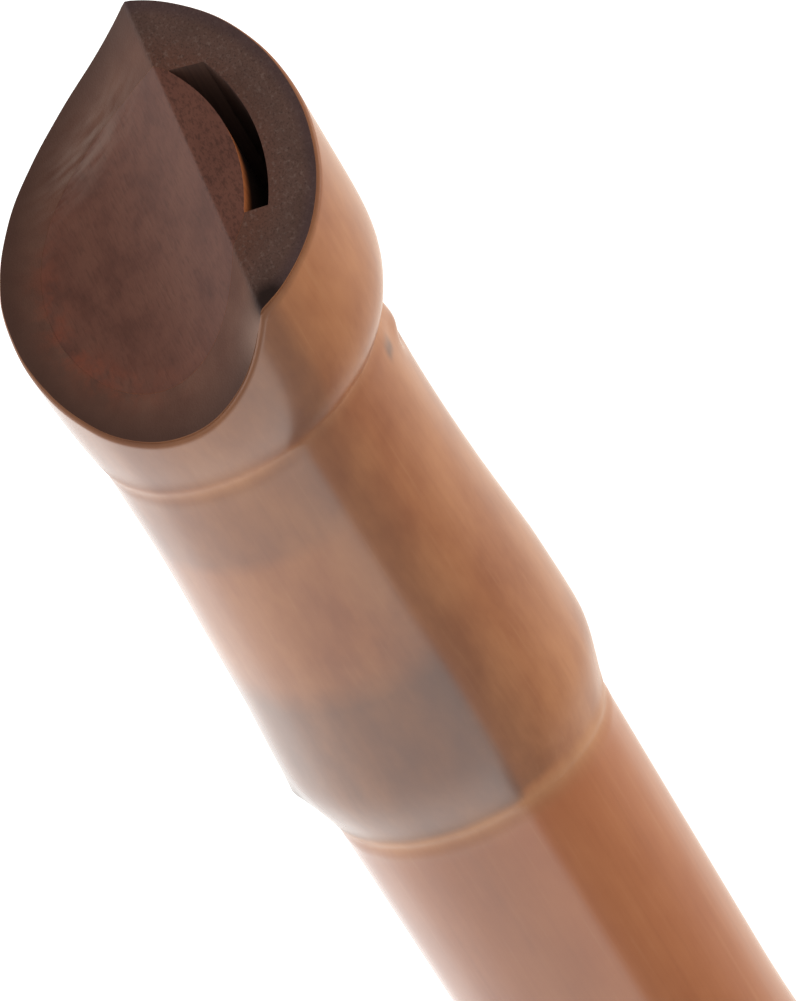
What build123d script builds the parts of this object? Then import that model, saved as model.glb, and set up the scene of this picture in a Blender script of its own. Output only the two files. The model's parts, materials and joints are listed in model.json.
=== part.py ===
from build123d import *
from math import cos, radians, sin, tan
import os

# A beaked bamboo flute that stands on its foot: +Z runs up the bore, z = 0 is the foot,
# the mouth is at the top, and the front (-Y) has the windway, the window and the finger holes.
os.makedirs("parts", exist_ok=True)

# Bore and mouth, in mm
bore_radius = 9.6
shoulder_height = 0.4      # the bore is opened out by this for the block, down to a shoulder
shoulder_gap = 0.5         # from the block's lower face to that shoulder
mouth_shift = 1.1         # the root section grew this far off the bore, towards the front
mouth_slant = 26.0         # degrees that the mouth is cut off square, high at +X

# Beak: a scoop sanded behind the slot, as by a drum
ridge_offset = 5.95        # from the bore's centre to the ridge between mouth and beak
ridge_skew = 3.3           # degrees that the ridge is turned about the mouth's normal
drum_radius = 20.0
ridge_slope = 51.0         # degrees that the scoop falls away at the ridge

# Windway, window and lip
windway_angle = 68.6       # degrees of the socket's circle that slot, window and lip take
slot_height = 1.55         # at the mouth
exit_height = 0.95         # where the windway meets the window
windway_length = 108.5
window_length = 6.0
lip_height = 0.85          # thickness of the lip's edge above the bore
ramp_angle = 11.0          # degrees between the lip's ramp and the bore

# Finger holes
sounding_length = 400.5    # from the lip's edge to the foot
hole_radius = 4.5
hole_ratios = (0.43, 0.517, 0.605, 0.681, 0.757, 0.838)   # of the sounding length, from the lip

# Culm: where each joint ring lies below the mouth, the wall of the stretch that
# ends there, and how far that stretch swells just above its ring
ring_depths = (20.6, 64.5, 138.0, 227.0, 334.0, 433.0)
stretch_walls = (4.7, 2.95, 2.75, 2.6, 2.5, 2.4)
ring_swells = (0.0, 1.4, 1.1, 0.9, 0.9, 0.8)
foot_wall = 2.3
swell_run = 32.0           # from where a stretch starts to swell down to its ring
swell_fall = 7.0           # from the swelling's crest down to the ring
groove_depth = 0.25
groove_run = 2.0           # length over which the next stretch leaves the groove
mouth_fall = 10.0          # length over which the root section rounds down to the first ring
mouth_drop = 2.6           # and how much radius it loses there

block_clearance = 0.0      # the block is glued in, face to face with its socket
margin = 20.0              # how far cutters run past what they cut
overlap = 0.1              # how far two cutters run into each other

socket_radius = bore_radius + shoulder_height
mouth_radius, *stretch_radii = [bore_radius + wall for wall in stretch_walls + (foot_wall,)]
length = windway_length + window_length + sounding_length
window_top = length - windway_length
lip_edge = window_top - window_length
mouth = Location((0, 0, length)) * Rotation(0, -mouth_slant, 0) * Rotation(0, 0, -ridge_skew)


def revolved(edges, top, foot):
    """Turn a profile of (radius, z) edges, closed along the axis, about the bore."""
    first, last = edges[0] @ 0, edges[-1] @ 1
    rim = [Line(first, (0, top)), Line((0, top), (0, foot)), Line((0, foot), last)]
    return revolve(Plane.XZ * make_face(edges + rim), Axis.Z)


def root_section():
    """The short stretch at the mouth, off-centre, that rounds down into the first ring."""
    ring = length - ring_depths[0]
    top = length + margin
    crest = (mouth_radius, ring + mouth_fall)
    shoulder = (mouth_radius - 0.3 * mouth_drop, ring + 0.4 * mouth_fall)
    side = Line((mouth_radius, top), crest)
    fall = Spline(crest, shoulder, (mouth_radius - mouth_drop, ring), tangents=((0, -1), (-0.8, -1)))
    return Location((0, -mouth_shift, 0)) * revolved([side, fall], top, ring)


def stretch(start, ring, radius, swell, next_radius):
    """One stretch of culm from its upper end down to its ring, swollen above the ring."""
    lead = Spline((radius - groove_depth, start), (radius, start - groove_run),
                  tangents=((0.3, -1), (0, -1)))
    plain = Line((radius, start - groove_run), (radius, ring + swell_run))
    rise = Spline((radius, ring + swell_run), (radius + swell, ring + swell_fall),
                  tangents=((0, -1), (0, -1)))
    fall = Spline((radius + swell, ring + swell_fall), (next_radius - groove_depth, ring),
                  tangents=((0, -1), (-1, -1)))
    return revolved([lead, plain, rise, fall], start, ring)


def culm():
    """The whole outside of the bamboo, before anything is cut into it."""
    rings = [length - depth for depth in ring_depths if depth < length - swell_run]
    solid = root_section()
    core = stretch_radii[0] - groove_depth
    solid += revolved([Line((core, length), (core, rings[0]))], length, rings[0])
    for place in range(1, len(rings)):
        solid += stretch(rings[place - 1], rings[place], stretch_radii[place - 1],
                         ring_swells[place], stretch_radii[place])
    foot_radius = stretch_radii[len(rings) - 1]
    lead = Spline((foot_radius - groove_depth, rings[-1]), (foot_radius, rings[-1] - groove_run),
                  tangents=((0.3, -1), (0, -1)))
    foot = Line((foot_radius, rings[-1] - groove_run), (foot_radius, 0))
    return solid + revolved([lead, foot], rings[-1], 0)


def sector(profile):
    """Turn (radius, z) points about the bore through the windway's angle, centred on the front."""
    face = Plane.XZ * make_face(Polyline(*profile, close=True))
    start = -90 - windway_angle / 2
    return revolve(Rotation(0, 0, start) * face, Axis.Z, revolution_arc=windway_angle)


def windway():
    """The arched channel over the block, from above the mouth to the window."""
    floor = socket_radius - overlap
    slope = (slot_height - exit_height) / windway_length
    top = length + margin
    return sector([(floor, window_top - overlap), (socket_radius + exit_height, window_top - overlap),
                   (socket_radius + slot_height + slope * margin, top), (floor, top)])


def window():
    """The opening through the wall, and the ramp that leaves the lip's edge."""
    inside, outside = bore_radius / 2, mouth_radius + margin
    lip = bore_radius + lip_height
    ramp_end = lip_edge - (outside - lip) / tan(radians(ramp_angle))
    opening = sector([(inside, window_top), (outside, window_top),
                      (outside, lip_edge), (inside, lip_edge)])
    ramp = sector([(lip, lip_edge + overlap), (outside, lip_edge + overlap),
                   (outside, ramp_end), (lip, lip_edge)])
    return opening + ramp


def finger_holes():
    """Round holes through the front wall."""
    drill = Rotation(90, 0, 0) * Cylinder(hole_radius, mouth_radius + margin,
                                          align=(Align.CENTER, Align.CENTER, Align.MIN))
    return [Location((0, 0, lip_edge - ratio * sounding_length)) * drill for ratio in hole_ratios]


def mouth_cuts():
    """What is cut off at the mouth: everything above the slanted plane, and the beak's scoop."""
    tilt = radians(ridge_slope)
    above = mouth * Box(8 * mouth_radius, 8 * mouth_radius, 4 * mouth_radius,
                        align=(Align.CENTER, Align.CENTER, Align.MIN))
    centre = Location((0, drum_radius * sin(tilt) - ridge_offset, drum_radius * cos(tilt)))
    drum = mouth * centre * Rotation(0, 90, 0) * Cylinder(drum_radius, 8 * mouth_radius)
    return [above, drum]


def cylinder_between(radius, low, high):
    align = (Align.CENTER, Align.CENTER, Align.MIN)
    return Location((0, 0, low)) * Cylinder(radius, high - low, align=align)


def bamboo_body():
    bore = cylinder_between(bore_radius, -margin, length)
    socket = cylinder_between(socket_radius, window_top - shoulder_gap, length + margin)
    return culm() - bore - socket - windway() - window() - finger_holes() - mouth_cuts()


def windway_block():
    """The wooden plug that fills its socket from the window up and forms the windway's floor."""
    plug = cylinder_between(socket_radius - block_clearance, window_top, length + margin)
    return plug - mouth_cuts()


for name, piece in (("bamboo_body", bamboo_body()), ("windway_block", windway_block())):
    export_step(piece, f"parts/{name}.step")
    box = piece.bounding_box()
    print(name, len(piece.solids()), round(piece.volume), box.min, box.max)
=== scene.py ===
import bpy
import json
import numpy as np
from mathutils import Matrix, Vector


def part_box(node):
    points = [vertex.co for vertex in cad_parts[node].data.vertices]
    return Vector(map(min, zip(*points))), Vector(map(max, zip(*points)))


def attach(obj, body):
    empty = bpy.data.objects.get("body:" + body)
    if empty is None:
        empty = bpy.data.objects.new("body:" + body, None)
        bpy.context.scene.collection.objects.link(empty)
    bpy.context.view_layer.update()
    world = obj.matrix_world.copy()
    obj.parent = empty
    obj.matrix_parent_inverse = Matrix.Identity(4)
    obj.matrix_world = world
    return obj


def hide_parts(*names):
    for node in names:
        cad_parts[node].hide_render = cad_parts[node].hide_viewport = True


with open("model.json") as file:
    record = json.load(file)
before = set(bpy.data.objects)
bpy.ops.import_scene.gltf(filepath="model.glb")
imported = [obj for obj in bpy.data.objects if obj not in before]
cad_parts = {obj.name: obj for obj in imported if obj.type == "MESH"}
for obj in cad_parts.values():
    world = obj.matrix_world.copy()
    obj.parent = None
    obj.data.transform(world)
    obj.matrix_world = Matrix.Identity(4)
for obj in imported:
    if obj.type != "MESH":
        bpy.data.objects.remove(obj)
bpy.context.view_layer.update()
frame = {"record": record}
mm = 0.001

# Shapes are worked out in millimetres in the flute's own frame: z up the bore, front at -y.
# Bearings are degrees from +x, counter-clockwise seen from above. Depths run down from the
# middle of the mouth.
blockLow, blockHigh = (np.array(corner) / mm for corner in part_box("windway_block"))
footBore = next(m for m in frame["record"]["mounts"] if m["name"] == "foot_bore")
fingerBoxes = [o["box_m"] for o in frame["record"]["physics"]["openings"] if "finger" in o["name"]]

culm = {
    "boreRadius": footBore["dims"]["r_mm"],
    "shoulderHeight": footBore["dims"]["length_mm"],
    "socketRadius": (blockHigh[0] - blockLow[0]) / 2,
    "blockFoot": blockLow[2],
    "windwayLength": 108.5,
    "mouthRadius": 14.45, "shoulderDepth": 6.0,  # the root section, full size down to its shoulder
    "mouthShift": 1.15, "mouthFlare": 0.35, "shiftBearing": -97.0,  # it stands off the bore
    "mouthOval": 0.33, "ovalBearing": 0.0,
    "rootPower": 3.4, "rootPowerFront": 0.9,    # how late it shrinks, and how much later in front
    "ringDepths": (19.7, 64.2, 138.0, 227.0, 334.0, 433.0),
    "ringTilts": (0.8, 1.8, 0.9, 1.1, 0.8, 1.0), "tiltRun": 14.0,
    "ringBearings": (130, -20, 130, -60, 160, 20),  # towards which a ring dips
    "ringBlend": 1.2,                           # run over which the root section meets its ring
    "stretchRadii": (12.55, 12.35, 12.2, 12.1, 12.0, 11.9),
    # the culm bows: how much farther the back stands out at each depth
    "leanDepths": (20, 40, 48, 54, 60, 67, 100, 160),
    "leans": (-0.13, -0.08, -0.22, -0.08, 0.1, 0.14, 0.24, 0.0),
    "swells": (1.3, 1.1, 0.9, 0.9, 0.8, 0.0), "swellRun": 36.0, "swellFall": 8.5,
    # round each ring: height, distance below the ring, width
    "ringLip": (0.03, -0.9, 0.8), "ringGroove": (-0.09, 0.2, 0.6), "ringScar": (0.03, 1.3, 0.55),
    "firstRing": 0.6,                           # share of the groove and scar at the first ring
    # the section's wander: height, lobes round, twist per millimetre, phase
    "wander": ((0.05, 2, 0.021, 0.0), (0.03, 3, -0.017, 1.0), (0.012, 11, 0.01, 0.0),
               (0.01, 19, -0.013, 0.0)),
    "rimRadius": 0.3, "rimLean": 0.85,          # the skin's edge is eased where the mouth is cut
    "cornerBearing": -158.0, "cornerWear": 0.15, "cornerWide": 9.0,
    "footEase": 0.4,
    # the grid: columns, spacing of the skin's rows, where they start to follow the cut, how far under
    # it the rim's rows start, their distances below it, and the rows carried past it
    "around": 196, "finest": 0.26, "widest": 3.0, "growth": 0.17, "fineRun": 2.0,
    "flatDepth": 15.0, "rimRun": 0.8,
    "rimRows": (0.713, 0.5175, 0.3795, 0.2645, 0.1725, 0.1035, 0.046, 0.0), "pastRows": (0.6, 2.0),
}
culm["length"] = culm["blockFoot"] + culm["windwayLength"]

# bud scars: depth, bearing, height
buds = [(22.5, -94.0, 0.36), (59.0, 96.0, 0.5), (140.5, -60.0, 0.3), (229.5, 118.0, 0.3),
        (336.5, -78.0, 0.28), (435.5, 102.0, 0.28)]
bud = {"long": 1.5, "wide": 8.0, "pitBelow": 1.5, "pitLong": 0.8, "pitWide": 4.0, "pitShare": 0.8}

# smoked bands of the skin, and one band of painted shade (at bearing -163): depths from and to, middle
# bearing, half width and soft edge in degrees, amount, and the run over which the band fades in
smokeAndShadeBands = [(42.0, 63.5, -245.0, 80.0, 3.0, 0.62, 1.2), (19.5, 28.6, -225.0, 60.0, 3.0, 0.3, 1.2),
          # the second band below, at bearing -163 from over the rim down to the second ring, is painted shade:
          # a darker strip down the root section and the first stretch
          (-9.0, 19.4, -215.0, 64.0, 4.0, 0.36, 1.2), (-9.0, 62.5, -163.0, 21.0, 17.0, 0.36, 1.2),
          (20.6, 22.8, -112.0, 5.0, 3.0, 0.85, 1.2), (56.5, 60.5, 104.0, 10.0, 6.0, 0.5, 1.2),
          (64.5, 118.0, -225.0, 50.0, 20.0, 0.2, 1.2), (112.0, 137.5, 40.0, 70.0, 35.0, 0.36, 12.0),
          (201.0, 226.5, -150.0, 80.0, 40.0, 0.36, 12.0), (303.0, 333.5, 20.0, 90.0, 45.0, 0.36, 14.0),
          (412.0, 432.5, -120.0, 80.0, 40.0, 0.36, 12.0)]

marks = {
    "bandEnd": 0.8,                             # run over which a smoked band ends
    # along the rings: strength, distance below the ring, width
    "pale": (0.2, -0.6, 1.4), "paleFirst": (0.1, 0.1, 0.6), "dull": (0.6, -0.7, 1.1),
    "rubbedRun": 0.35, "rubbedFull": 0.6,       # bare edge under the cut: fading run, full part of it
    "burn": (-12.9, -6.7, 508.7), "burnRadius": 1.3, "burnStrength": 1.5,
    # worn: a lighter spot on the beak by the ridge's low end, the painted highlight of the worn ridge
    "worn": (-14.1, -4.6, 507.2), "wornHighlightRadius": 2.2,
    # on the beak: strength, bearing, half width in degrees, distance from the axis, half width
    # rust is reddish wear low on the scoop; the other entry is a painted greyish highlight high on the beak
    "rust": (0.65, 105.0, 50.0, 9.6, 1.3), "greyHighlight": (0.55, 8.0, 26.0, 10.2, 1.8),
    "beakEdge": 0.4,                            # run over which the crescent's look turns to the beak's
}

mouth = {
    "slant": 26.0, "ridgeSkew": 2.3, "ridgeOffset": 6.3, "drumRadius": 20.0, "ridgeSlope": 51.0,
    "ridgeWear": 0.16, "wearShare": 0.3,        # radius worn on the ridge, and how much is put back
}

windway = {
    "lowSide": (38.5, 34.0), "highSide": (41.8, 29.5),  # degrees from the front at floor and roof
    "slotHeight": 1.55, "exitHeight": 0.95, "roofSag": 0.8, "floorDip": 0.45, "dipPower": 0.7,
    "windowLength": 6.0, "windowAngle": 68.6, "lipHeight": 0.85, "rampAngle": 11.0, "rampRun": 26.0,
    "overlap": 0.1, "clear": 30.0,              # how far cutters overlap, and a radius past the skin
}

plug = {"clearance": 0.015, "chamfer": 0.3, "around": 128, "rows": 40, "above": 22.0}

fingerHole = {"radius": 4.5, "ease": 0.7, "inside": 8.0, "outside": 6.0, "around": 64}


def linear(hexColour):  # sRGB hex to linear RGBA
    srgb = np.array([int(hexColour[i:i + 2], 16) / 255 for i in (1, 3, 5)])
    flat = np.where(srgb <= 0.04045, srgb / 12.92, ((srgb + 0.055) / 1.055) ** 2.4)
    return (*flat, 1.0)


def meshPiece(name, points, faces, material, facesMaterial=None):
    mesh = bpy.data.meshes.new(name)
    mesh.from_pydata(np.asarray(points) * mm, [], faces if isinstance(faces, list) else faces.tolist())
    for one in material if isinstance(material, (list, tuple)) else [material]:
        mesh.materials.append(one)
    if facesMaterial is not None:
        mesh.polygons.foreach_set("material_index", facesMaterial.astype(np.int32))
    mesh.polygons.foreach_set("use_smooth", np.ones(len(mesh.polygons), bool))
    mesh.update()
    piece = bpy.data.objects.new(name, mesh)
    bpy.context.scene.collection.objects.link(piece)
    return piece


def gridFaces(rows, columns, closedRows, closedColumns):
    # quads between neighbouring points of a rows x columns grid, wrapped where it is closed
    i = np.arange(rows if closedRows else rows - 1)[:, None]
    j = np.arange(columns if closedColumns else columns - 1)[None, :]
    nextRow, nextColumn = (i + 1) % rows, (j + 1) % columns
    corners = (i * columns + j, i * columns + nextColumn, nextRow * columns + nextColumn,
               nextRow * columns + j)
    return np.stack(corners, -1).reshape(-1, 4)


def closedPair(name, lower, upper, material):
    # a solid between two sheets with the same grid: both sheets, joined by a strip round their edges
    rows, columns = lower.shape[:2]
    points = np.concatenate([lower.reshape(-1, 3), upper.reshape(-1, 3)])
    faces = gridFaces(rows, columns, False, False)
    index = np.arange(rows * columns).reshape(rows, columns)
    edge = np.concatenate([index[0, :-1], index[:-1, -1], index[-1, :0:-1], index[:0:-1, 0]])
    following = np.roll(edge, -1)
    shift = rows * columns
    strip = np.stack([edge, following, following + shift, edge + shift], -1)
    return outward(meshPiece(name, points, np.concatenate([faces[:, ::-1], faces + shift, strip]), material))


def cappedTube(name, points, material):
    # a grid whose rows go round, closed by one flat face at each end
    rows, columns = points.shape[:2]
    ring = list(range(columns))
    faces = gridFaces(rows, columns, False, True).tolist()
    faces += [ring[::-1], [(rows - 1) * columns + k for k in ring]]
    return outward(meshPiece(name, points.reshape(-1, 3), faces, material))


def outward(piece):
    # turns every face the other way if the closed mesh has a negative volume
    mesh = piece.data
    mesh.calc_loop_triangles()
    corner = np.empty(len(mesh.vertices) * 3)
    mesh.vertices.foreach_get("co", corner)
    triangles = np.empty(len(mesh.loop_triangles) * 3, int)
    mesh.loop_triangles.foreach_get("vertices", triangles)
    a, b, c = corner.reshape(-1, 3)[triangles.reshape(-1, 3)].transpose(1, 0, 2)
    if np.einsum("ij,ij->i", a, np.cross(b, c)).sum() < 0:
        mesh.flip_normals()
    return piece


def turned(radius, angle, z):
    # points at a radius, an angle round the bore and a height
    radius, angle, z = np.broadcast_arrays(radius, angle, z)
    return np.stack([radius * np.cos(angle), radius * np.sin(angle), z], -1)


def turnFrom(angle, bearing):
    # signed turn from a bearing in degrees to each angle, between -pi and pi
    return (angle - np.radians(bearing) + np.pi) % (2 * np.pi) - np.pi


def bell(distance, width):
    return np.exp(-(distance / width) ** 2)


def mouthFrame():
    # columns are the ridge's direction, the direction across it towards the back, and the normal
    slant, skew = np.radians(mouth["slant"]), np.radians(mouth["ridgeSkew"])
    tip = np.array([[np.cos(slant), 0, -np.sin(slant)], [0, 1, 0], [np.sin(slant), 0, np.cos(slant)]])
    turn = np.array([[np.cos(skew), np.sin(skew), 0], [-np.sin(skew), np.cos(skew), 0], [0, 0, 1]])
    return tip @ turn


def scoop(across):
    # height above the mouth's plane: flat in front of the ridge, a drum's arc behind it, and the
    # ridge worn round by a soft minimum of the two
    slope, drum, wear = np.radians(mouth["ridgeSlope"]), mouth["drumRadius"], mouth["ridgeWear"]
    centre = drum * np.sin(slope) - mouth["ridgeOffset"]
    arc = drum * np.cos(slope) - np.sqrt(np.clip(drum ** 2 - (across - centre) ** 2, 0, None))
    return 0.5 * (arc - np.sqrt(arc ** 2 + wear ** 2)) + wear / 2 * mouth["wearShare"]


def cutHeight(x, y):
    # z of the cut above each (x, y): steps z until the point lies on the scooped mouth
    axes = mouthFrame()
    z = culm["length"] + np.tan(np.radians(mouth["slant"])) * x
    for _ in range(6):
        local = np.stack([x, y, z - culm["length"]], -1) @ axes
        z = z + (scoop(local[..., 1]) - local[..., 2]) / axes[2, 2]
    return z


def mouthCutter(material):
    # everything above the scooped mouth: a sheet over (along the ridge, across it), finest at the
    # ridge, and a flat lid above it
    reach, wide, back, far, lid = 34.0, 19.0, 17.0, 29.0, 26.0
    ridge = -mouth["ridgeOffset"]
    along = np.concatenate([[-reach], np.linspace(-wide, wide, 76), [reach]])
    across = np.unique(np.concatenate([[-reach], np.linspace(-wide, ridge - 1, 26),
                                       np.linspace(ridge - 1, ridge + 1, 25),
                                       np.linspace(ridge + 1, back, 34), [far]]))
    u, v = np.meshgrid(along, across)
    origin = np.array([0, 0, culm["length"]])
    axes = mouthFrame()
    lower = np.stack([u, v, scoop(v)], -1) @ axes.T + origin
    upper = np.stack([u, v, np.full_like(u, lid)], -1) @ axes.T + origin
    return closedPair("mouthCutter", lower, upper, material)


def profile(depth):
    # radius at each depth below the first ring: each stretch is straight, swells to its crest as
    # the mean of a 1.5 power and an S, and falls to its ring as the mean of a square and an S;
    # each ring adds a lip, a groove and a scar, all bell shaped
    rings, radii = culm["ringDepths"], culm["stretchRadii"]
    run, drop = culm["swellRun"], culm["swellFall"]
    radius = radii[0] + 0 * depth
    lip, lipBelow, lipWidth = culm["ringLip"]
    for above, ring, own, following, swell in zip(rings, rings[1:], radii, radii[1:], culm["swells"]):
        rise = np.clip((depth - ring + run) / (run - drop), 0, 1)
        fall = np.clip((depth - ring + drop) / drop, 0, 1)
        grown = own + swell * 0.5 * (rise ** 1.5 + rise ** 2 * (3 - 2 * rise))
        fallen = grown - (own + swell - following) * fall ** 2 * (2 - fall)
        radius = np.where((depth >= above) & (depth < ring), fallen, radius)
        radius = np.where(depth >= ring, following, radius)
        radius = radius + lip * bell(depth - ring - lipBelow, lipWidth)
    for k, ring in enumerate(rings):
        share = culm["firstRing"] if k == 0 else 1.0
        for height, below, width in (culm["ringGroove"], culm["ringScar"]):
            radius = radius + share * height * bell(depth - ring - below, width)
    return radius


def warpedDepth(angle, z):
    # depth below the mouth, shifted near each ring so that the ring lies tilted
    depth = culm["length"] - z
    shift = np.zeros_like(depth + angle)
    for ring, tilt, bearing in zip(culm["ringDepths"], culm["ringTilts"], culm["ringBearings"]):
        shift = shift + tilt * np.cos(angle - np.radians(bearing)) * bell(depth - ring, culm["tiltRun"])
    return depth - shift


def patch(angle, depth, middle, bearing, long, wide):
    # a soft spot: a bell in depth times a bell in bearing
    return bell(depth - middle, long) * bell(turnFrom(angle, bearing), np.radians(wide))


def rootRadius(angle, depth):
    # the root section: an off-centre circle, flared and a little oval at the mouth, full size down
    # to its shoulder, then shrinking by a power of the way down that is lower at the back
    first, shoulder = culm["ringDepths"][0], culm["shoulderDepth"]
    fall = np.clip((depth - shoulder) / (first - shoulder), 0, 1)
    left = 1 - fall ** (culm["rootPower"] - culm["rootPowerFront"] * np.sin(angle))
    rim = np.clip(1 - depth / shoulder, 0, 1)
    shift = (culm["mouthShift"] + culm["mouthFlare"] * rim) * left
    base = culm["stretchRadii"][0]
    circle = base + (culm["mouthRadius"] - base) * left
    turn = angle - np.radians(culm["shiftBearing"])
    radius = shift * np.cos(turn) + np.sqrt(circle ** 2 - (shift * np.sin(turn)) ** 2)
    return radius + culm["mouthOval"] * rim * np.cos(2 * (angle - np.radians(culm["ovalBearing"])))


def skinRadius(angle, z):
    # distance from the bore's axis to the skin: the stretches leaning with the bow, joined to the
    # root section by an S over the first ring, plus the wander and the buds, each a bump over a pit
    depth = warpedDepth(angle, z)
    stretch = profile(depth) + np.interp(depth, culm["leanDepths"], culm["leans"]) * np.sin(angle)
    root = rootRadius(angle, depth)
    across = np.clip((depth - culm["ringDepths"][0]) / culm["ringBlend"] + 0.5, 0, 1)
    radius = root + (stretch - root) * across ** 2 * (3 - 2 * across)
    for height, lobes, twist, phase in culm["wander"]:
        radius = radius + height * np.cos(lobes * angle + twist * z + phase)
    for middle, bearing, height in buds:
        pit = patch(angle, depth, middle + bud["pitBelow"], bearing, bud["pitLong"], bud["pitWide"])
        bump = patch(angle, depth, middle, bearing, bud["long"], bud["wide"])
        radius = radius + height * (bump - bud["pitShare"] * pit)
    return radius


def skinRows():
    # heights of the skin's level rows, from the foot up: close together at the rings, and wider
    # apart in proportion to the distance from them
    depths = np.linspace(culm["length"], culm["flatDepth"], 6000)
    nearest = np.abs(depths[:, None] - np.array(culm["ringDepths"])).min(1)
    spacing = np.clip(culm["finest"] + culm["growth"] * (nearest - culm["fineRun"]), culm["finest"],
                      culm["widest"])
    count = np.concatenate([[0], np.cumsum(-np.diff(depths) / spacing[1:])])
    return culm["length"] - np.interp(np.arange(int(count[-1]) + 1), count, depths)


def culmPiece(skin, bore, sawn):
    # one grid carried up the skin, over the top and down the bore, closed both ways: columns go
    # round the flute and rows go along it
    angle = np.linspace(0, 2 * np.pi, culm["around"], endpoint=False)[None, :]
    flat = skinRows()[:, None] + 0 * angle
    top = flat[-1, 0]
    radius = np.full(angle.shape, culm["mouthRadius"])
    for _ in range(4):  # settles where the skin meets the cut
        cut = cutHeight(radius * np.cos(angle), radius * np.sin(angle))
        radius = skinRadius(angle, cut)
    # above the flat rows the rows follow the cut: shares of the way, then distances below it that
    # shorten over the rim, then two rows past it
    share = (np.linspace(1, 0.12, 16) ** 1.3)[1:, None]
    rising = np.minimum(cut - share * (cut - top), cut - culm["rimRun"])
    closing = cut - np.array(culm["rimRows"])[:, None]
    past = cut + np.array(culm["pastRows"])[:, None]
    z = np.concatenate([flat, rising, closing, past])
    r = skinRadius(angle + 0 * z, z)
    # the rim is a quarter-round, larger at the worn corner
    wear = culm["cornerWear"] * patch(angle, 0.0, 0.0, culm["cornerBearing"], 1.0, culm["cornerWide"])
    rim = culm["rimRadius"] + wear
    gap = np.clip((cut - z) * culm["rimLean"], 0, rim)
    r = r - (rim - np.sqrt(rim ** 2 - (rim - gap) ** 2))
    # foot: a small eased edge outside and inside
    ease, socket, inner = culm["footEase"], culm["socketRadius"], culm["boreRadius"]
    base = np.zeros_like(z[:1])
    outer = turned(np.concatenate([r[:1] - ease, r]), angle, np.concatenate([base, base + ease, z[1:]]))
    # wall: from well above the cut down the socket, over the shoulder and down the bore
    socketRows, boreRows = 14, 60
    wallRadius = np.repeat([socket, inner, inner + 0.6 * ease], [1 + socketRows, boreRows, 1])[:, None]
    levels = np.concatenate([np.linspace(culm["length"] - 16, culm["shoulderHeight"], socketRows),
                             np.linspace(culm["shoulderHeight"], ease, boreRows), [0.0]])[:, None]
    wall = turned(wallRadius, angle, np.concatenate([z[-1:] + 8, levels + 0 * angle]))
    points = np.concatenate([outer, wall])
    count = len(points)
    faces = gridFaces(count, culm["around"], True, True)
    faceRow = np.repeat(np.arange(count), culm["around"])
    inside = (faceRow >= len(outer)) & (faceRow < count - 1)
    atFoot = faceRow == count - 1
    print("culm grid", points.shape[:2])
    piece = meshPiece("bambooCulm", points.reshape(-1, 3), faces, [skin, bore, sawn], inside + 2 * atFoot)
    return outward(piece)


def sectorSolid(name, bearings, heights, inner, outer, material):
    # a solid over (share across, height) between two sheets; each sheet has a radius function and
    # its two sides in degrees from the front, low side first
    t, h = np.meshgrid(np.linspace(0, 1, 37), heights)
    sheets = []
    for (low, high), radius in zip(bearings, (inner, outer)):
        bearing = np.radians(-high + (low + high) * t)
        r = radius(t, h) + 0 * h
        sheets.append(np.stack([-r * np.sin(bearing), -r * np.cos(bearing), h], -1))
    return closedPair(name, *sheets, material)


def windwayCutters(slotWall, cutFace):
    # the channel, whose roof is flatter than the bore and sinks in a straight line to the window,
    # the window, and the ramp, a straight slope down to the lip
    socket, top, bore = culm["socketRadius"], culm["blockFoot"], culm["boreRadius"]
    overlap, clear = windway["overlap"], windway["clear"]
    lipZ = top - windway["windowLength"]
    lip = bore + windway["lipHeight"]
    slope = (windway["slotHeight"] - windway["exitHeight"]) / culm["windwayLength"]
    rise = np.tan(np.radians(windway["rampAngle"]))
    sides = tuple(zip(windway["lowSide"], windway["highSide"]))
    square = ((windway["windowAngle"] / 2,) * 2,) * 2

    def roof(t, h):
        return socket + windway["exitHeight"] + slope * (h - top) + windway["roofSag"] * (t - 0.5) ** 2

    channel = sectorSolid("channelCutter", sides, np.linspace(top - overlap, culm["length"] + 20, 40),
                          lambda t, h: socket - overlap, roof, slotWall)
    opening = sectorSolid("windowCutter", square, np.linspace(lipZ, top, 5),
                          lambda t, h: bore * 0.6, lambda t, h: clear, cutFace)
    ramp = sectorSolid("rampCutter", square, np.linspace(lipZ + overlap, lipZ - windway["rampRun"], 30),
                       lambda t, h: lip + rise * np.clip(lipZ - h, 0, None), lambda t, h: clear, cutFace)
    return [channel, opening, ramp]


def floorCutter(material):
    # lowers the block's top under the windway: a shallow parabola, flattened by a power, that dies
    # out at both sides
    def dip(t, h):
        hollow = np.clip(4 * t * (1 - t), 0, 1) ** windway["dipPower"]
        return culm["socketRadius"] - windway["floorDip"] * hollow

    sides = ((windway["lowSide"][0], windway["highSide"][0]),) * 2
    return sectorSolid("floorCutter", sides, np.linspace(culm["blockFoot"] - 5, culm["length"] + 30, 30),
                       dip, lambda t, h: culm["socketRadius"] + 3, material)


def holeCutter(box, material):
    # a finger hole's drill: a tube along y whose wall flares by a quarter-round where it meets the
    # skin, so that the rim is eased all the way round
    low, high = np.array(box) / mm
    x0, z0 = (low + high)[[0, 2]] / 2
    hole, ease = fingerHole["radius"], fingerHole["ease"]
    around = np.linspace(0, 2 * np.pi, fingerHole["around"], endpoint=False)[None, :]
    skin = skinRadius(np.full_like(around, -np.pi / 2), z0 + hole * np.sin(around))
    height = np.concatenate([[-fingerHole["inside"]], np.linspace(-ease, ease * 0.3, 12),
                             [fingerHole["outside"]]])[:, None]
    lift = np.clip(height + ease, 0, ease)
    radius = hole + (ease - np.sqrt(ease ** 2 - lift ** 2)) + np.clip(height, 0, None)
    level = np.sqrt(np.clip(skin ** 2 - (hole * np.cos(around)) ** 2, 1, None)) + height
    points = np.stack([x0 + radius * np.cos(around), -level, z0 + radius * np.sin(around)], -1)
    return cappedTube("holeCutter", points, material)


sharpAngle = 32.0  # degrees: edges that turn more stay crisp


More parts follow.
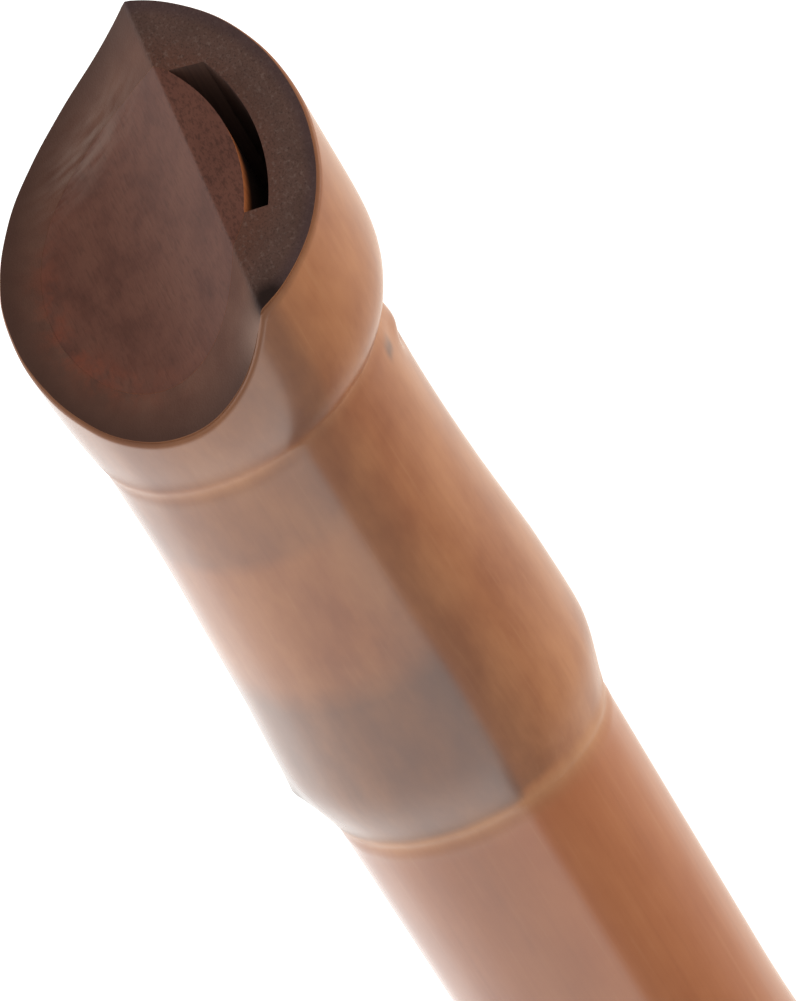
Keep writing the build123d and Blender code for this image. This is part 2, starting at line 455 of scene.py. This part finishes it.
def carve(piece, cutters):
    # cuts each cutter out of the piece in turn and keeps the result as its mesh
    for cutter in cutters:
        cut = piece.modifiers.new(cutter.name, "BOOLEAN")
        cut.operation, cut.solver, cut.object = "DIFFERENCE", "EXACT", cutter
        cut.material_mode = "TRANSFER"
        cut.use_self = False
    evaluated = piece.evaluated_get(bpy.context.evaluated_depsgraph_get())
    made = bpy.data.meshes.new_from_object(evaluated)
    piece.modifiers.clear()
    piece.data = made
    made.polygons.foreach_set("use_smooth", np.ones(len(made.polygons), bool))
    made.set_sharp_from_angle(angle=np.radians(sharpAngle))


def blockPiece(side, cutters):
    # the plug: a straight tube's outside with a chamfer at its foot, closed at both ends, then cut
    # by the mouth
    angle = np.linspace(0, 2 * np.pi, plug["around"], endpoint=False)[None, :]
    foot, chamfer = culm["blockFoot"], plug["chamfer"]
    top = culm["length"] + plug["above"]
    heights = np.concatenate([[foot], np.linspace(foot + chamfer, top, plug["rows"])])
    radii = np.full_like(heights, culm["socketRadius"] - plug["clearance"])
    radii[0] -= chamfer
    piece = cappedTube("windwayBlock", turned(radii[:, None], angle, heights[:, None]), side)
    carve(piece, cutters)
    return piece


def addNode(tree, kind, settings=None, links=None):
    # adds one node, sets its values by socket or property name, and links its inputs
    node = tree.nodes.new(kind)
    for key, value in (settings or {}).items():
        if key in node.inputs:
            node.inputs[key].default_value = value
        else:
            setattr(node, key, value)
    for key, source in (links or {}).items():
        tree.links.new(source, node.inputs[key])
    return node


def mixColour(tree, factor, first, second):
    # one colour over another by a factor; colours given as hex are set on the sockets themselves
    node = tree.nodes.new("ShaderNodeMix")
    node.data_type, node.blend_type = "RGBA", "MIX"
    for socket, value in ((node.inputs[0], factor), (node.inputs[6], first), (node.inputs[7], second)):
        if isinstance(value, str):
            socket.default_value = linear(value)
        elif isinstance(value, (int, float)):
            socket.default_value = value
        else:
            tree.links.new(value, socket)
    return node.outputs[2]


def combine(tree, operation, first, second):
    # one of Blender's two-value sums, such as MULTIPLY or MAXIMUM
    return addNode(tree, "ShaderNodeMath", {"operation": operation}, {0: first, 1: second}).outputs["Value"]


def ramp(tree, value, low, high, lowTo=0.0, highTo=1.0):
    # straight line from one range to another, clamped
    settings = {"From Min": low, "From Max": high, "To Min": lowTo, "To Max": highTo}
    return addNode(tree, "ShaderNodeMapRange", settings, {"Value": value}).outputs["Result"]


def noiseAt(tree, cells, detail=3.0, rough=0.5):
    # noise whose cells measure so many millimetres in x, y and z
    place = addNode(tree, "ShaderNodeTexCoord")
    scale = [1 / (c * mm) for c in cells]
    scaled = addNode(tree, "ShaderNodeMapping", {"vector_type": "POINT", "Scale": scale},
                     {"Vector": place.outputs["Object"]})
    return addNode(tree, "ShaderNodeTexNoise", {"Scale": 1.0, "Detail": detail, "Roughness": rough},
                   {"Vector": scaled.outputs["Vector"]}).outputs["Fac"]


def attribute(tree, name):
    return addNode(tree, "ShaderNodeAttribute", {"attribute_name": name}).outputs["Fac"]


def startMaterial(name, **settings):
    material = bpy.data.materials.new(name)
    material.use_nodes = True
    shader = material.node_tree.nodes["Principled BSDF"]
    for key, value in settings.items():
        shader.inputs[key.replace("_", " ")].default_value = value
    return material, material.node_tree, shader


def finishMaterial(tree, shader, base, height=None, strength=0.0, distance=0.0):
    # links the colour and, where a height is given, a fine bump in metres
    tree.links.new(base, shader.inputs["Base Color"])
    if height is not None:
        bump = addNode(tree, "ShaderNodeBump", {"Strength": strength, "Distance": distance}, {"Height": height})
        tree.links.new(bump.outputs["Normal"], shader.inputs["Normal"])


def lacqueredBamboo():
    # oil-lacquered bamboo skin: warm tan with fine streaks along the fibres, redder below the
    # second ring, paler wax at the rings, darker smoked bands and one band of painted shade, all under
    # a clear satin coat that is rubbed off along the cut and dulled at the rings
    look = {"deep": "#875030", "light": "#9E6740", "streak": "#7A4528", "pale": "#C99F74",
            "smokeAndShade": "#5B4237", "red": "#9A5832", "rubbed": "#6B4732"}
    material, tree, shader = startMaterial("lacqueredBamboo", Roughness=0.5, Specular_IOR_Level=0.15,
                                           Coat_Weight=1.0, Coat_Roughness=0.2, Coat_IOR=1.66)
    second = culm["ringDepths"][1]
    fibres = noiseAt(tree, (0.45, 0.45, 14.0), 4.0, 0.6)
    clouds = noiseAt(tree, (6.0, 6.0, 12.0), 4.0, 0.6)
    rubbed = attribute(tree, "rubbed")
    base = mixColour(tree, ramp(tree, clouds, 0.32, 0.68), look["deep"], look["light"])
    base = mixColour(tree, ramp(tree, attribute(tree, "ringDepth"), second - 0.2, second + 1.8, 0.0, 0.6),
                     base, look["red"])
    base = mixColour(tree, ramp(tree, fibres, 0.5, 0.8, 0.0, 0.22), base, look["streak"])
    base = mixColour(tree, ramp(tree, fibres, 0.42, 0.2, 0.0, 0.08), base, look["pale"])
    base = mixColour(tree, attribute(tree, "pale"), base, look["pale"])
    # the smoked bands, and the band of painted shade at bearing -163, darkened unevenly by the clouds
    blotched = combine(tree, "MULTIPLY", attribute(tree, "smokeAndShade"), ramp(tree, clouds, 0.3, 0.6, 1.15, 0.85))
    base = mixColour(tree, blotched, base, look["smokeAndShade"])
    base = mixColour(tree, ramp(tree, rubbed, 0.0, 1.0, 0.0, 0.45), base, look["rubbed"])
    worn = combine(tree, "MAXIMUM", rubbed, attribute(tree, "dull"))
    tree.links.new(ramp(tree, worn, 0.0, 1.0, 1.0, 0.1), shader.inputs["Coat Weight"])
    finishMaterial(tree, shader, base, fibres, 0.1, 0.00005)
    return material


def stainedEndGrain():
    # bamboo wall sawn across and stained: greyish brown with pale fibre bundles a few tenths of a
    # millimetre wide, darker and closer towards the skin, scorched at the ridge's low corner; the
    # scooped beak is smoother and evener, with painted highlights by the ridge's low end and high on the beak
    look = {"ground": "#513A32", "bundle": "#756158", "pit": "#30201A", "rim": "#392A2C", "inner": "#54362B",
            "burn": "#1E100B", "scoop": "#644538", "edge": "#3F2A22", "worn": "#7C6256"}
    material, tree, shader = startMaterial("stainedEndGrain", Roughness=0.6, Specular_IOR_Level=0.1)
    depth = attribute(tree, "skinDepth")
    bundles = noiseAt(tree, (0.3, 0.3, 2.5), 2.0, 0.5)
    grains = noiseAt(tree, (0.16, 0.16, 1.4), 3.0, 0.6)
    clouds = noiseAt(tree, (2.6, 2.6, 7.0), 3.0)
    base = mixColour(tree, ramp(tree, depth, 0.0044, 0.0024), look["inner"], look["ground"])
    base = mixColour(tree, ramp(tree, bundles, 0.54, 0.74, 0.0, 0.34), base, look["bundle"])
    base = mixColour(tree, ramp(tree, grains, 0.5, 0.72, 0.0, 0.75), base, look["pit"])
    base = mixColour(tree, ramp(tree, clouds, 0.45, 0.7, 0.0, 0.3), base, look["pit"])
    base = mixColour(tree, ramp(tree, depth, 0.0014, 0.0006, 0.0, 0.55), base, look["rim"])
    scooped = mixColour(tree, ramp(tree, clouds, 0.35, 0.65, 0.6, 0.0), look["inner"], look["scoop"])
    scooped = mixColour(tree, ramp(tree, depth, 0.0032, 0.0006, 0.0, 0.75), scooped, look["edge"])
    # painted highlight: lighter greyish brown where the worn ridge ends
    scooped = mixColour(tree, attribute(tree, "worn"), scooped, look["worn"])
    base = mixColour(tree, attribute(tree, "beak"), base, rustAndHighlight(tree, scooped))
    base = mixColour(tree, attribute(tree, "burn"), base, look["burn"])
    finishMaterial(tree, shader, base, grains, 0.4, 0.0001)
    return material


def rustAndHighlight(tree, base):
    # the beak's marks: reddish handling wear where the end grain's dye is rubbed low on the scoop, and a
    # painted greyish highlight high on it
    spots = noiseAt(tree, (1.6, 1.6, 2.6), 4.0, 0.65)
    smears = noiseAt(tree, (0.7, 4.0, 2.5), 3.0)
    rust = combine(tree, "MULTIPLY", attribute(tree, "rust"), ramp(tree, spots, 0.4, 0.62))
    # painted highlight: a greyish sheen high on the beak, broken into smears
    greyHighlight = combine(tree, "MULTIPLY", attribute(tree, "greyHighlight"), ramp(tree, smears, 0.35, 0.65))
    return mixColour(tree, greyHighlight, mixColour(tree, rust, base, "#743C2A"), "#7D6A60")


def blockEndGrain():
    # the plug's sawn face: a closer, redder wood, softly mottled, with faint short streaks, and
    # rougher and spottier on the crescent than on the beak
    look = {"ground": "#56342A", "streak": "#442A21", "light": "#603D31", "rough": "#5E3A2F",
            "spot": "#3A221B"}
    material, tree, shader = startMaterial("blockEndGrain", Roughness=0.5, Specular_IOR_Level=0.1)
    streaks = noiseAt(tree, (1.3, 0.22, 0.7), 4.0, 0.6)
    clouds = noiseAt(tree, (3.2, 3.2, 5.0), 4.0, 0.6)
    spots = noiseAt(tree, (0.5, 0.25, 0.5), 4.0, 0.7)
    base = mixColour(tree, ramp(tree, clouds, 0.35, 0.65), look["light"], look["ground"])
    base = mixColour(tree, ramp(tree, clouds, 0.5, 0.75, 0.0, 0.4), base, look["streak"])
    base = mixColour(tree, ramp(tree, streaks, 0.5, 0.75, 0.0, 0.5), base, look["streak"])
    base = mixColour(tree, ramp(tree, streaks, 0.45, 0.25, 0.0, 0.25), base, look["light"])
    spotted = mixColour(tree, ramp(tree, spots, 0.48, 0.62), look["rough"], look["spot"])
    crescent = mixColour(tree, 0.55, base, spotted)
    # the beak takes the same reddish wear and painted greyish highlight as the culm's
    base = mixColour(tree, attribute(tree, "beak"), crescent, rustAndHighlight(tree, base))
    finishMaterial(tree, shader, base, streaks, 0.3, 0.00006)
    return material


def plugFlank():
    # the plug's turned side: orange-brown wood, painted near-black below the first millimetre under the cut as
    # shade down in the windway
    material, tree, shader = startMaterial("plugFlank", Roughness=0.6, Specular_IOR_Level=0.2)
    streaks = noiseAt(tree, (0.4, 0.4, 12.0), 3.0, 0.6)
    base = mixColour(tree, ramp(tree, streaks, 0.3, 0.7), "#8A4A26", "#A25F36")
    # painted shade: near-black from 0.4 mm to 1.5 mm below the cut, down in the windway
    base = mixColour(tree, ramp(tree, attribute(tree, "sunk"), 0.4, 1.5), base, "#241610")
    finishMaterial(tree, shader, base)
    return material


def rubbedWood(name, dark, light, roughness):
    # bare wood seen along the bore: long streaks between two browns
    material, tree, shader = startMaterial(name, Roughness=roughness, Specular_IOR_Level=0.3)
    streaks = noiseAt(tree, (0.4, 0.4, 12.0), 3.0, 0.6)
    finishMaterial(tree, shader, mixColour(tree, ramp(tree, streaks, 0.3, 0.7), dark, light))
    return material


def alongRings(depth, rings, mark):
    # a bell at every ring: strength, distance below the ring, width
    strength, below, width = mark
    return sum(strength * bell(depth - ring - below, width) for ring in rings)


def smokeAndShadeAmount(angle, depth):
    # each smoked band, and the band of painted shade, fades in down its length and off at its sides; bands that
    # overlap darken
    clean = 1 + 0 * depth
    for start, end, bearing, wide, soft, amount, fade in smokeAndShadeBands:
        turn = np.abs(turnFrom(angle, bearing))
        along = np.clip((depth - start) / fade, 0, 1) * np.clip((end - depth) / marks["bandEnd"], 0, 1)
        across = np.clip((np.radians(wide) - turn) / np.radians(soft), 0, 1)
        clean = clean * (1 - amount * along * across)
    return 1 - clean


def paintMarks(piece):
    # point attributes the materials follow: where each ring, smoked band, band of painted shade, worn spot with
    # its painted highlight, painted greyish highlight and cut lies
    spots = np.empty(len(piece.data.vertices) * 3)
    piece.data.vertices.foreach_get("co", spots)
    points = spots.reshape(-1, 3) / mm
    x, y, z = points.T
    angle, fromAxis = np.arctan2(y, x), np.hypot(x, y)
    depth, sunk = warpedDepth(angle, z), cutHeight(x, y) - z
    rings = culm["ringDepths"]
    across = ((points - [0, 0, culm["length"]]) @ mouthFrame())[:, 1]

    def near(spot, radius):
        return bell(np.linalg.norm(points - marks[spot], axis=1), marks[radius])

    def onBeak(mark):
        strength, bearing, wide, distance, run = mark
        return strength * bell(turnFrom(angle, bearing), np.radians(wide)) * bell(fromAxis - distance, run)

    values = {
        "ringDepth": depth,
        "pale": (alongRings(depth, rings[1:], marks["pale"])
                 + alongRings(depth, rings[:1], marks["paleFirst"])),
        "dull": alongRings(depth, rings, marks["dull"]),
        # smoked bands, and the band of painted shade at bearing -163
        "smokeAndShade": smokeAndShadeAmount(angle, depth),
        "skinDepth": (skinRadius(angle, z) - fromAxis) * mm,
        "rubbed": np.clip(1 + marks["rubbedFull"] - sunk / marks["rubbedRun"], 0, 1),
        "burn": np.clip(marks["burnStrength"] * near("burn", "burnRadius"), 0, 1),
        # painted highlight on the worn ridge's low end
        "worn": near("worn", "wornHighlightRadius"),
        "rust": onBeak(marks["rust"]),
        # painted greyish highlight high on the beak
        "greyHighlight": onBeak(marks["greyHighlight"]),
        "beak": np.clip((across + mouth["ridgeOffset"]) / marks["beakEdge"], 0, 1),
        "sunk": sunk,
    }
    for name, value in values.items():
        made = piece.data.attributes.new(name, "FLOAT", "POINT")
        made.data.foreach_set("value", value.astype(np.float32))


lacqueredSkin = lacqueredBamboo()
cutFace = stainedEndGrain()
blockFace = blockEndGrain()
boreWall = rubbedWood("boreWall", "#6B4526", "#8A5E38", 0.6)
slotWall = rubbedWood("slotWall", "#3B2720", "#4C342A", 0.7)
blockSide = plugFlank()
print("materials made", len(bpy.data.materials))

body = culmPiece(lacqueredSkin, boreWall, cutFace)
cutters = [mouthCutter(cutFace)] + windwayCutters(slotWall, cutFace)
cutters += [holeCutter(box, cutFace) for box in fingerBoxes]
carve(body, cutters)
paintMarks(body)
print("culm carved", len(body.data.polygons), "faces")
plugCutters = [floorCutter(blockSide), mouthCutter(blockFace)]
block = blockPiece(blockSide, plugCutters)
paintMarks(block)
print("block cut", len(block.data.polygons), "faces")
for cutter in cutters + plugCutters:
    bpy.data.objects.remove(cutter)
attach(body, "root")
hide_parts("bamboo_body")
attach(block, "root")
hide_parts("windway_block")

view = {"aim": (0.0005, -0.0058, 0.4761), "distance": 0.4734, "bearing": -85.0, "elevation": 37.0,
        "roll": 31.74, "lens": 213.45}

studio = {
    "sky": 0.8, "floorReach": 9.0, "floorDrop": 0.0002, "floor": "#F6F6F4", "floorGlow": 0.3,
    "keyAt": (0.25, -1.15, 0.66), "keySize": 1.1, "keyPower": 14.5,
    "fillAt": (0.3, 1.1, 0.75), "fillSize": 0.9, "fillPower": 8.0,
    # the card, in metres: shares of its radius and height row by row, from under the flute outwards
    # along the floor and then up
    "flagRadius": 0.3, "flagFrom": 14.6, "flagTo": 170.0, "flagHeight": 0.53,
    "flagOut": (0.02, 0.1, 0.2, 1, 1, 1), "flagUp": (0.002, 0.002, 0.002, 0.002, 0.5, 1),
    "flagColumns": 40, "bounceFrom": 60.0, "bounce": 1.3, "bounceTint": "#FFF0E2",
}


def makeCamera():
    # stands at a bearing and an elevation round the aim, turned about its own line of sight
    bearing, elevation = np.radians(view["bearing"]), np.radians(view["elevation"])
    level = np.cos(elevation)
    back = Vector((np.sin(bearing) * level, -np.cos(bearing) * level, np.sin(elevation)))
    camera = bpy.data.objects.new("camera", bpy.data.cameras.new("camera"))
    bpy.context.scene.collection.objects.link(camera)
    camera.data.lens = view["lens"]
    camera.location = Vector(view["aim"]) + back * view["distance"]
    upright = (-back).to_track_quat("-Z", "Y").to_matrix()
    camera.rotation_euler = (Matrix.Rotation(np.radians(view["roll"]), 3, -back) @ upright).to_euler()
    bpy.context.scene.camera = camera


def areaLight(name, place, size, power):
    # a square soft box aimed at the flute's upper end
    lamp = bpy.data.lights.new(name, "AREA")
    lamp.shape, lamp.size, lamp.energy = "SQUARE", size, power
    light = bpy.data.objects.new(name, lamp)
    bpy.context.scene.collection.objects.link(light)
    light.location = place
    light.rotation_euler = (Vector(view["aim"]) - Vector(place)).to_track_quat("-Z", "Y").to_euler()
    light.visible_camera = False


def flag():
    # a black card bent round the front right, seen only in the lacquer: it takes the sheen off the
    # right flank, and its far end is a warm bounce that rises in a straight line towards the back
    facing = view["bearing"] - 90
    columns, rows = studio["flagColumns"], len(studio["flagOut"])
    turn = np.linspace(studio["flagFrom"], studio["flagTo"], columns)[None, :]
    radius = np.array(studio["flagOut"])[:, None] * studio["flagRadius"] / mm
    height = np.array(studio["flagUp"])[:, None] * studio["flagHeight"] / mm
    points = turned(radius, np.radians(facing + turn), height).reshape(-1, 3)
    material, tree, shader = startMaterial("blackCard", Roughness=1.0)
    shader.inputs["Base Color"].default_value = linear("#000000")
    shader.inputs["Emission Color"].default_value = linear(studio["bounceTint"])
    tree.links.new(attribute(tree, "bounce"), shader.inputs["Emission Strength"])
    card = meshPiece("blackFlag", points, gridFaces(rows, columns, False, False), material)
    share = np.clip((turn - studio["bounceFrom"]) / (studio["flagTo"] - studio["bounceFrom"]), 0, 1)
    glow = (studio["bounce"] * share + np.zeros((rows, 1))).ravel()
    card.data.attributes.new("bounce", "FLOAT", "POINT").data.foreach_set("value", glow.astype(np.float32))
    card.visible_camera = card.visible_diffuse = card.visible_shadow = card.visible_transmission = False


makeCamera()
floorMaterial, _, floorShader = startMaterial("paleFloor", Roughness=0.9, Emission_Strength=studio["floorGlow"])
floorShader.inputs["Base Color"].default_value = linear(studio["floor"])
floorShader.inputs["Emission Color"].default_value = linear("#FFFFFF")
reach, drop = studio["floorReach"] / mm, -studio["floorDrop"] / mm
floorCorners = [(-reach, -reach, drop), (reach, -reach, drop), (reach, reach, drop), (-reach, reach, drop)]
floor = meshPiece("floor", floorCorners, [(0, 1, 2, 3)], floorMaterial)
flag()
areaLight("keyBox", studio["keyAt"], studio["keySize"], studio["keyPower"])
areaLight("fillBox", studio["fillAt"], studio["fillSize"], studio["fillPower"])
world = bpy.data.worlds.new("studio")
bpy.context.scene.world = world
world.use_nodes = True
world.node_tree.nodes["Background"].inputs["Strength"].default_value = studio["sky"]
world.node_tree.nodes["Background"].inputs["Color"].default_value = (1, 1, 1, 1)
bpy.context.scene.view_settings.view_transform = "Standard"
print("studio set")
